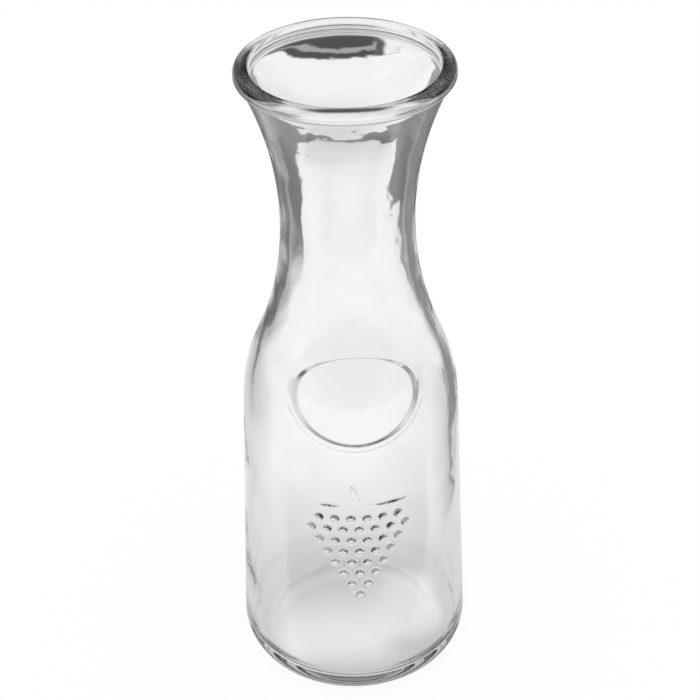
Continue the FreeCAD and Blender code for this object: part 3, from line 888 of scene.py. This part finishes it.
@dataclass
class GlassCarafe:
    """The carafe: one closed skin of glass with its ornament and its uneven inner wall."""

    name: str = "carafe_glass"
    body: str = "root"
    node: str = "glass_carafe"
    slot: str = "clear_glass"
    outline: VesselOutline = field(default_factory=VesselOutline)
    ornament: Ornament = field(default_factory=Ornament)
    inner_ripple: Ripple = Ripple(depth=0.06, seed=11)
    finish: ClearGlass = ClearGlass()
    columns: int = 128
    body_rows: int = 20
    ornament_rows: int = 58
    neck_rows: int = 42
    flare_rows: int = 24
    flare_low: float = 250.0
    inner_rows: int = 64
    ripple_top: tuple[float, float] = (12.0, 25.0)
    ripple_foot: tuple[float, float] = (8.0, 12.0)
    finer_rows: int = 6
    finer_columns: int = 6

    def rows(self) -> tuple[Array, int, int]:
        """Rows of the whole skin, from beside the push-up's middle to beside the floor's middle.

        Returns:
            Distances from the axis and heights, the row where the ornament starts, and the row
            where the inside starts.
        """
        foot = self.outline.foot()
        lip = self.outline.lip()
        floor = self.outline.floor()
        low, high = self.ornament.low, self.ornament.high
        heights = np.concatenate(
            [
                np.linspace(foot[-1, 1], low, self.body_rows, endpoint=False)[1:],
                np.linspace(low, high, self.ornament_rows, endpoint=False),
                np.linspace(high, lip[0, 1], self.neck_rows, endpoint=False),
            ]
        )
        inside = np.concatenate(
            [
                np.linspace(lip[-1, 1], self.flare_low, self.flare_rows, endpoint=False)[1:],
                np.linspace(self.flare_low, floor[0, 1], self.inner_rows, endpoint=False),
            ]
        )
        outer = self.outline.side(heights)
        inner = self.outline.side(inside, self.outline.wall)
        start = len(foot) + self.body_rows - 1
        inside_start = len(foot) + len(outer) + len(lip)
        return np.concatenate([foot, outer, lip, inner, floor]), start, inside_start

    def skin(self) -> tuple[Array, list[list[int]]]:
        """Points and faces of the skin.

        The skin is a grid of rows and columns turned round the axis. Under the ornament a finer
        grid takes the place of a patch of it, and the faces beside that patch take in the finer
        points along their edge. A point at each end closes the grid.

        Returns:
            Points, and the numbers of each face's points.
        """
        rows, start, inside_start = self.rows()
        turn = np.linspace(-math.pi, math.pi, self.columns, endpoint=False)
        up = np.repeat(rows[:, 1:], self.columns, axis=1)
        out = np.repeat(rows[:, :1], self.columns, axis=1)
        inside = slice(inside_start, None)
        under, top_run = self.ripple_top
        above, foot_run = self.ripple_foot
        fade = smooth((self.outline.height - under - up[inside]) / top_run)
        fade = fade * smooth((up[inside] - above) / foot_run)
        out[inside] += fade * self.inner_ripple.height(turn[None, :], up[inside])

        half = round(self.ornament.reach / (2 * math.pi) * self.columns)
        left, right = self.columns // 2 - half, self.columns // 2 + half
        end = start + self.ornament_rows
        fine_turn = np.linspace(turn[left], turn[right], 2 * half * self.finer_columns + 1)[None, :]
        fine_rows = np.linspace(self.ornament.low, self.ornament.high,
                                self.ornament_rows * self.finer_rows + 1)[:, None]
        fine_turn, fine_rows = np.broadcast_arrays(fine_turn, fine_rows)
        fine_turn, fine_rows, relief = self.ornament.relief(
            fine_turn, fine_rows, self.outline.radius(fine_rows)
        )
        fine_out = self.outline.radius(fine_rows) + relief * math.cos(self.outline.taper)
        fine_up = fine_rows + relief * math.sin(self.outline.taper)

        points = np.concatenate(
            [
                self.turned(turn[None, :], out, up),
                self.turned(fine_turn, fine_out, fine_up),
                [[0.0, 0.0, self.outline.punt_rise]],
                [[0.0, 0.0, self.outline.punt_rise + self.outline.floor_thickness]],
            ]
        )
        grid = np.arange(out.size).reshape(out.shape)
        fine = out.size + np.arange(fine_out.size).reshape(fine_out.shape)
        grid[start:end + 1, left:right + 1] = fine[:: self.finer_rows, :: self.finer_columns]
        faces = self.faces(grid, fine, (start, end, left, right), len(points))
        used, index = np.unique(np.concatenate(faces), return_inverse=True)
        sizes = np.array([len(face) for face in faces])
        split = np.split(index, np.cumsum(sizes)[:-1])
        return points[used], [face.tolist() for face in split]

    @staticmethod
    def turned(turn: Array, out: Array, up: Array) -> Array:
        """Points turned round the axis: out times sine, less out times cosine, and the height.

        Args:
            turn: Angles, from the front.
            out: Distances from the axis.
            up: Heights.

        Returns:
            Points, one row each.
        """
        spread = np.broadcast_arrays(out * np.sin(turn), -out * np.cos(turn), up)
        return np.stack(spread, axis=-1).reshape(-1, 3)

    def faces(self, grid: Array, fine: Array, patch: tuple[int, int, int, int],
              count: int) -> list[Array]:
        """Faces of the coarse grid, the fine patch, the seam between them and the two ends.

        Args:
            grid: Numbers of the coarse points, by row and column.
            fine: Numbers of the fine points, by row and column.
            patch: First and last row, and first and last column, of the patch in the coarse grid.
            count: How many points there are; the last two close the ends.

        Returns:
            Each face's point numbers, facing out of the glass.
        """
        start, end, left, right = patch
        closed = np.concatenate([grid, grid[:, :1]], axis=1)
        whole = self.quads(closed)
        row, column = np.divmod(np.arange(len(whole)), self.columns)
        beside = (row >= start) & (row < end) & (column >= left - 1) & (column <= right)
        above = (row >= start - 1) & (row <= end) & (column >= left) & (column < right)
        made = list(whole[~(beside | above)]) + list(self.quads(fine))
        for step in range(end - start):
            run = slice(step * self.finer_rows, (step + 1) * self.finer_rows + 1)
            low, high = grid[start + step], grid[start + step + 1]
            made.append(np.r_[low[left - 1], fine[run, 0], high[left - 1]])
            made.append(np.r_[low[right + 1], high[right + 1], fine[run, -1][::-1]])
        for step in range(right - left):
            run = slice(step * self.finer_columns, (step + 1) * self.finer_columns + 1)
            low, high = grid[start - 1, left + step:][:2], grid[end + 1, left + step:][:2]
            made.append(np.r_[low, fine[0, run][::-1]])
            made.append(np.r_[fine[-1, run], high[::-1]])
        first, last = closed[0], closed[-1]
        made += list(np.stack([np.full(self.columns, count - 2), first[1:], first[:-1]], axis=1))
        made += list(np.stack([last[:-1], last[1:], np.full(self.columns, count - 1)], axis=1))
        return made

    @staticmethod
    def quads(grid: Array) -> Array:
        """Four-sided faces between neighbouring rows and columns of a grid of point numbers."""
        corners = (grid[:-1, :-1], grid[:-1, 1:], grid[1:, 1:], grid[1:, :-1])
        return np.stack([corner.ravel() for corner in corners], axis=1)

    def build(self) -> bpy.types.Object:
        """Makes the piece, dresses it and puts it in the place of the plain solid.

        Returns:
            The piece.
        """
        points, faces = self.skin()
        mesh = bpy.data.meshes.new(self.name)
        mesh.from_pydata((points * MM).tolist(), [], faces)
        mesh.polygons.foreach_set("use_smooth", np.ones(len(mesh.polygons), dtype=bool))
        mesh.materials.append(self.finish.material())
        mesh.validate()
        piece = bpy.data.objects.new(self.name, mesh)
        bpy.context.scene.collection.objects.link(piece)
        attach(piece, self.body)
        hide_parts(self.node)
        log.info("%s: %d points, %d faces", self.name, len(points), len(faces))
        return piece


# Studio


class Side(enum.Enum):
    """Where a soft lamp stands, as its direction from the carafe."""

    LEFT = (-0.75, -0.35, 0.56)
    RIGHT = (0.8, 0.1, 0.6)


@dataclass(frozen=True)
class SoftLamp:
    """A large soft lamp that shines at the middle of the carafe."""

    side: Side
    power: float
    width: float = 2.0
    height: float = 2.0
    distance: float = 2.2

    def build(self, middle: Vector) -> None:
        """Makes the lamp.

        Args:
            middle: The place that it shines at.
        """
        data = bpy.data.lights.new(f"soft_lamp_{self.side.name.lower()}", "AREA")
        data.shape = "RECTANGLE"
        data.size, data.size_y = self.width, self.height
        data.energy = self.power
        lamp = bpy.data.objects.new(data.name, data)
        direction = Vector(self.side.value).normalized()
        lamp.location = middle + direction * self.distance
        lamp.rotation_euler = direction.to_track_quat("Z", "Y").to_euler()
        bpy.context.scene.collection.objects.link(lamp)


@dataclass(frozen=True)
class PhotoCamera:
    """Camera at the photograph's angle."""

    lens: float = 87.43
    sensor: float = 36.0
    elevation: float = math.radians(35.35)
    azimuth: float = math.radians(-3.0)
    distance: float = 674.2
    aim_height: float = 146.94
    roll: float = math.radians(-1.03)

    def build(self) -> None:
        """Makes the camera, aims it at the axis and rolls it."""
        data = bpy.data.cameras.new("photo_camera")
        data.lens, data.sensor_width = self.lens, self.sensor
        camera = bpy.data.objects.new("photo_camera", data)
        level = math.cos(self.elevation)
        back = Vector((math.sin(self.azimuth) * level, -math.cos(self.azimuth) * level,
                       math.sin(self.elevation)))
        camera.location = (Vector((0.0, 0.0, self.aim_height)) + back * self.distance) * MM
        aim = back.to_track_quat("Z", "Y").to_matrix()
        camera.rotation_euler = (aim @ Matrix.Rotation(self.roll, 3, "Z")).to_euler()
        bpy.context.scene.collection.objects.link(camera)
        bpy.context.scene.camera = camera


@dataclass(frozen=True)
class Studio:
    """White floor, pale surroundings that darken overhead, soft lamps and the camera."""

    floor: PaleFloor = PaleFloor()
    floor_half: float = 4.0
    lamps: tuple[SoftLamp, ...] = (SoftLamp(Side.LEFT, 6.0), SoftLamp(Side.RIGHT, 4.0))
    camera: PhotoCamera = PhotoCamera()
    horizon: float = 0.30
    overhead: float = 0.12
    overhead_from: float = 0.35
    bounces: int = 40

    def surroundings(self) -> None:
        """Lights the scene evenly from all round. The glass shows a darker room than the eye."""
        world = bpy.data.worlds.new("pale_surroundings")
        board = NodeBoard(world)
        path = board.node("ShaderNodeLightPath")
        glossy = Value(board, path.outputs["Is Glossy Ray"])
        through = Value(board, path.outputs["Is Transmission Ray"])
        towards = board.node("ShaderNodeTexCoord").outputs["Generated"]
        up = board.value("ShaderNodeSeparateXYZ", "Z", {}, {"Vector": towards})
        stops = [
            (0.0, self.horizon),
            (self.overhead_from, self.overhead),
            (1.0, self.overhead),
        ]
        ramp = board.node("ShaderNodeValToRGB", {"stops": stops}, {"Fac": up})
        white = board.node("ShaderNodeBackground", {}, {"Color": (1.0, 1.0, 1.0, 1.0)})
        room = board.node("ShaderNodeBackground", {}, {"Color": ramp.outputs["Color"]})
        both = board.node(
            "ShaderNodeMixShader",
            {},
            {0: glossy.larger(through), 1: white.outputs[0], 2: room.outputs[0]},
        )
        board.node("ShaderNodeOutputWorld", {}, {"Surface": both.outputs[0]})
        bpy.context.scene.world = world

    def lay_floor(self) -> None:
        """Lays the floor as one square under the carafe."""
        half = self.floor_half
        corners = [(-half, -half, 0), (half, -half, 0), (half, half, 0), (-half, half, 0)]
        mesh = bpy.data.meshes.new("studio_floor")
        mesh.from_pydata(corners, [], [(0, 1, 2, 3)])
        mesh.materials.append(self.floor.material())
        floor = bpy.data.objects.new("studio_floor", mesh)
        bpy.context.scene.collection.objects.link(floor)
        floor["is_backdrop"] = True

    def build(self, middle: Vector) -> None:
        """Makes the studio.

        Args:
            middle: The middle of the carafe, which the lamps shine at.
        """
        self.surroundings()
        self.lay_floor()
        for lamp in self.lamps:
            lamp.build(middle)
        self.camera.build()
        scene = bpy.context.scene
        scene.cycles.max_bounces = self.bounces
        scene.cycles.transmission_bounces = self.bounces
        scene.cycles.glossy_bounces = self.bounces
        scene.view_settings.view_transform = "Standard"


def main() -> None:
    """Builds the carafe and the studio."""
    logging.basicConfig(level=logging.INFO, format="%(name)s: %(message)s")
    cad_low, cad_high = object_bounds()
    GlassCarafe().build()
    Studio().build((cad_low + cad_high) / 2)


if __name__ == "__main__":
    main()
